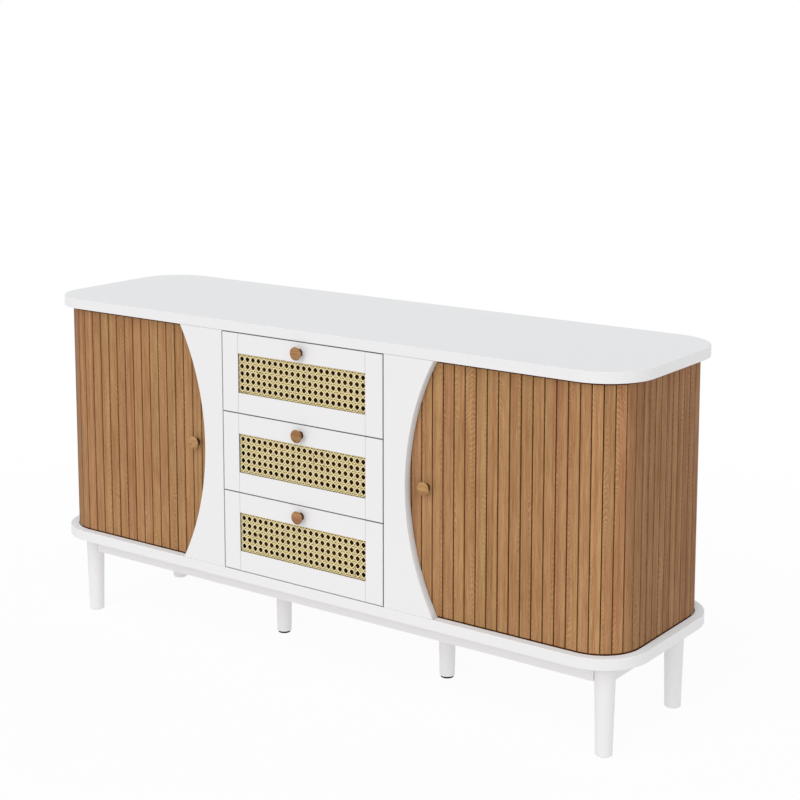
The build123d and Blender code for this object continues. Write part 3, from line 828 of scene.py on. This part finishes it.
def strip_sets(half_x, half_z):
    """Starts, ends, lift and samples for each set of strips in a window of half sizes."""
    upright = np.arange(-11, 12) * PITCH
    level = (np.arange(6) - 2.5) * ROW_PITCH
    offsets = np.arange(-16, 17) * PITCH
    sets = []
    for sign in (-1, 1):
        x, z = upright + sign * PAIR, level + sign * PAIR
        ends = [np.stack([x, np.full(len(x), end * half_z)], -1) for end in (-1, 1)]
        sets.append((*ends, lambda line, layer=sign * LAYER: np.full(line.shape[:2], layer), 2))
        ends = [np.stack([np.full(len(z), end * half_x), z], -1) for end in (-1, 1)]
        sets.append((*ends, lambda line: np.zeros(line.shape[:2]), 2))
    for slope in (1, -1):
        ends = clipped(offsets, slope * PITCH / ROW_PITCH, half_x, half_z)
        sets.append((*ends, lambda line, slope=slope: slope * (
            DIAGONAL_LIFT + DIAGONAL_WAVE * np.cos(2 * np.pi * line[..., 0] / PITCH)), 96))
    return sets


print("holes a metre:", round(1 / PITCH), "across and", round(1 / ROW_PITCH), "up")

# %% Three windows of cane
SHEET_DEPTH = 0.001  # metres from the front of the CAD sheet to the middle plane of the weave


def cane_sheet(name, node, body, first_seed):
    """All the strips of one window, in layers about the sheet's middle plane."""
    low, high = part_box(node)
    points, places, seeds, walls, caps, base = [], [], [], [], [], 0
    for number, strips in enumerate(strip_sets((high.x - low.x) / 2, (high.z - low.z) / 2)):
        made, place = ribbons(*strips)
        count, samples, ring, _ = made.shape
        each = samples * ring
        points.append(made.reshape(-1, 3))
        places.append(place.reshape(-1, 3))
        seeds.append(np.repeat(first_seed + number * 91.7 + np.arange(count) * 1.31, each))
        for kept, part in zip((walls, caps), bar_faces(samples, ring)):
            kept.append(repeated(part, count, each) + base)
        base += count * each
    points = np.concatenate(points)
    values = {"place": np.concatenate(places), "grid": points / (PITCH, 1, ROW_PITCH), "seed": np.concatenate(seeds)}
    points = points * (1, -1, 1) + (0, low.y + SHEET_DEPTH, (low.z + high.z) / 2)
    made = piece(name, points, [np.concatenate(walls), np.concatenate(caps)], cane, body, values, 60)
    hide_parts(node)


for number, name in enumerate(DRAWERS):
    cane_sheet(f"{name}_cane_webbing", f"{name}_drawer_cane", f"{name}_drawer", 500.0 + 1000 * number)

# %% [markdown]
# A dark card lies behind the cane, as on most such fronts, so the holes look deep. It is a flat sheet of four points,
# and Solidify gives it the thickness of card.

# %% Dark card behind the cane
CARD_AHEAD, CARD_THICK = 0.0006, 0.0004  # metres in front of the drawer box, and through the card
card, tree, shader = new_material("dark_card")
place = put(tree, "TexCoord").outputs["Object"]
brown = use_group(tree, drift, {"Place": place, "Colour": paint(82, 47, 8), "Scale": 60.0, "Amount": 0.4})
tree.links.new(brown.outputs["Colour"], shader.inputs["Base Color"])
felt = use_group(tree, stipple, {"Place": place, "Scale": 900.0})
bump(tree, shader, felt.outputs["Height"], 0.00006)
shader.inputs["Specular IOR Level"].default_value = 0.1
shader.inputs["Roughness"].default_value = 0.9
s, t = np.meshgrid([-1, 1], [-1, 1], indexing="ij")
for name in DRAWERS:
    low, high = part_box(f"{name}_drawer_cane")
    card_y = np.full(s.shape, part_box(f"{name}_drawer_box")[0].y - CARD_AHEAD)
    flat = np.stack([(low.x + high.x) / 2 + s * (high.x - low.x) / 2, card_y,
                     (low.z + high.z) / 2 + t * (high.z - low.z) / 2], -1)
    made = piece(f"{name}_cane_card", flat, [grid_faces(2, 2, False)], card, f"{name}_drawer")
    thick = made.modifiers.new("thickness", "SOLIDIFY")
    thick.thickness = CARD_THICK
    thick.offset = 0

# %% [markdown]
# ## Plywood, cloth and fittings
# The drawer boxes, their bottoms, the backs and the runners are plywood. Its face is rotary cut, so its figure is
# wide and pale. The pattern lies along X, as on the front, back and bottom boards. One pattern does for all of them,
# because each board cuts another part of it.

# %% Plywood
plywood, tree, shader = new_material("plywood")
place = put(tree, "TexCoord").outputs["Object"]
along_x = put(tree, "Mapping", {"Vector": place, "Rotation": (0, math.pi / 2, 0)}).outputs[0]
grain = use_group(tree, timber, {"Place": along_x, "Seed": 5.5, "Ring gap": 0.009, "Light": paint(226, 204, 168),
                                 "Dark": paint(192, 160, 116), "Figure": 0.35, "Pores": 0.25}).outputs
tree.links.new(grain["Colour"], shader.inputs["Base Color"])
shader.inputs["Roughness"].default_value = 0.6
bump(tree, shader, grain["Height"], 0.00008)
ply_nodes = ["back_panel", "drawer_runners"]
ply_nodes += [f"{side}_{part}" for side, _ in SIDES for part in ("inner_back", "lead_batten")]
ply_nodes += [f"{name}_drawer_{part}" for name in DRAWERS for part in ("box", "bottom")]
for name in ply_nodes:
    wear(nodes[name], plywood)
    ease(nodes[name], 0.0004)
print("plywood pieces:", len(ply_nodes))

# %% [markdown]
# A tambour's slats are held together by a canvas glued to their backs. It is a real sheet, so each one is made flat
# along a path: straight behind the front slats, and round the corners behind the end slats. The weave follows the
# path because each point stores its distance along it.

# %% Canvas finish
THREAD = 0.0016
cloth, tree, shader = new_material("curtain_cloth")
place = stored(tree, "place", "Vector")
along, _, up = put(tree, "SeparateXYZ", {0: place}).outputs
warp, weft = (maths(tree, "SINE", maths(tree, "MULTIPLY", way, 2 * math.pi / THREAD)) for way in (along, up))
weave = maths(tree, "MULTIPLY_ADD", maths(tree, "MULTIPLY", warp, weft), 0.5, 0.5)
dark = use_group(tree, drift, {"Place": place, "Colour": paint(78, 62, 50), "Scale": 25.0, "Amount": 0.5})
tree.links.new(mixed(tree, weave, dark.outputs["Colour"], paint(46, 36, 30)), shader.inputs["Base Color"])
bump(tree, shader, weave, 0.0003)
shader.inputs["Roughness"].default_value = 0.95
print("canvas nodes:", len(tree.nodes))

# %% Canvas behind the slats
BEHIND, CORNER_GAP = 0.0004, 0.001  # metres behind the slats, and between the front and the end canvas


def canvas(name, body, path, node):
    """A sheet along a plan path: p = (path(s), z), with the path's own length as its first parameter."""
    run = np.concatenate([[0], np.cumsum(np.linalg.norm(np.diff(path, axis=0), axis=1))])
    low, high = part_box(node)
    z = np.linspace(low.z, high.z, 12)
    shape = (len(path), len(z))
    level = np.broadcast_to(z, shape)
    points = np.concatenate([np.broadcast_to(path[:, None], (*shape, 2)), level[..., None]], -1)
    place = np.stack([np.broadcast_to(run[:, None], shape), np.zeros(shape), level], -1)
    # A path on the right runs the other way round, so its faces are turned to point outwards too.
    outwards = grid_faces(*shape, False)[:, ::-int(np.sign(path[0, 0]))]
    made = piece(name, points, [outwards], cloth, body, {"place": place})
    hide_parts(node)
    return made


quarter = np.linspace(0, math.pi / 2, 13)
turn = np.concatenate([quarter, quarter + math.pi / 2])
heart = np.repeat([middle_y - corner_y, middle_y + corner_y], len(quarter))
radius = corner_back - BEHIND
for side, sign in SIDES:
    x = sign * np.linspace(run_start, corner_x - CORNER_GAP, 40)
    path = np.stack([x, np.full(len(x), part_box(f"{side}_front_cloth")[0].y + BEHIND)], -1)
    made = canvas(f"{side}_front_canvas", f"{side}_door", path, f"{side}_front_cloth")
    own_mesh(made)
    path = np.stack([sign * (corner_x + radius * np.sin(turn)), heart - radius * np.cos(turn)], -1)
    canvas(f"{side}_end_canvas", "cabinet", path, "end_cloths")

# %% [markdown]
# The shelf pins and the leg bolts are zinc plated, a bright metal with cloudy crystals, which a drift of tone gives.
# The levelling pads under the middle legs are black plastic with a fine grain, and a soft rubber tyre round each
# keeps it from marking the floor. The tyre is a small rounded profile turned about the pad's axis, a hoop that is
# closed both ways.

# %% Zinc
zinc, tree, shader = new_material("zinc")
place = put(tree, "TexCoord").outputs["Object"]
grey = use_group(tree, drift, {"Place": place, "Colour": paint(196, 198, 202), "Scale": 180.0, "Amount": 0.25})
tree.links.new(grey.outputs["Colour"], shader.inputs["Base Color"])
shader.inputs["Metallic"].default_value = 1.0
shader.inputs["Roughness"].default_value = 0.35
for name in ("shelf_pins", "leg_bolts"):
    wear(nodes[name], zinc)
print("zinc nodes:", len(tree.nodes))

# %% Pads and their tyres
TYRE_INSIDE, TYRE_RADIUS, TYRE_PROUD = 0.0118, 0.0125, 0.0012  # metres from the pad's axis, and out from there
TYRE_MIDDLE, TYRE_HALF, TYRE_SQUARENESS = 0.0025, 0.0023, 0.4  # metres up, and the power that squares its section
pad, tree, shader = new_material("black_pad")
place = put(tree, "TexCoord").outputs["Object"]
black = use_group(tree, drift, {"Place": place, "Colour": paint(12, 12, 13), "Scale": 120.0, "Amount": 0.4})
tree.links.new(black.outputs["Colour"], shader.inputs["Base Color"])
skin = use_group(tree, stipple, {"Place": place, "Scale": 1800.0})
bump(tree, shader, skin.outputs["Height"], 0.00006)
shader.inputs["Specular IOR Level"].default_value = 0.02
shader.inputs["Roughness"].default_value = 0.8
turn = np.linspace(-np.pi / 2, np.pi / 2, 7)
radius = np.concatenate([[TYRE_INSIDE], TYRE_RADIUS + TYRE_PROUD * np.cos(turn), [TYRE_INSIDE]])[:, None]
swell = np.concatenate([[-1], np.sign(turn) * np.abs(np.sin(turn)) ** TYRE_SQUARENESS, [1]])[:, None]
angle = np.linspace(0, 2 * np.pi, 48, endpoint=False)
hoop = grid_faces(len(radius), len(angle), True, True)
for side, _ in SIDES:
    name = f"{side}_levelling_pad"
    wear(nodes[name], pad)
    low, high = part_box(name)
    level = low.z + TYRE_MIDDLE + TYRE_HALF * swell
    points = np.stack([(low.x + high.x) / 2 + radius * np.cos(angle), (low.y + high.y) / 2 + radius * np.sin(angle),
                       np.broadcast_to(level, (len(radius), len(angle)))], -1)
    piece(f"{name}_tyre", points, [hoop], pad, f"{side}_pad")
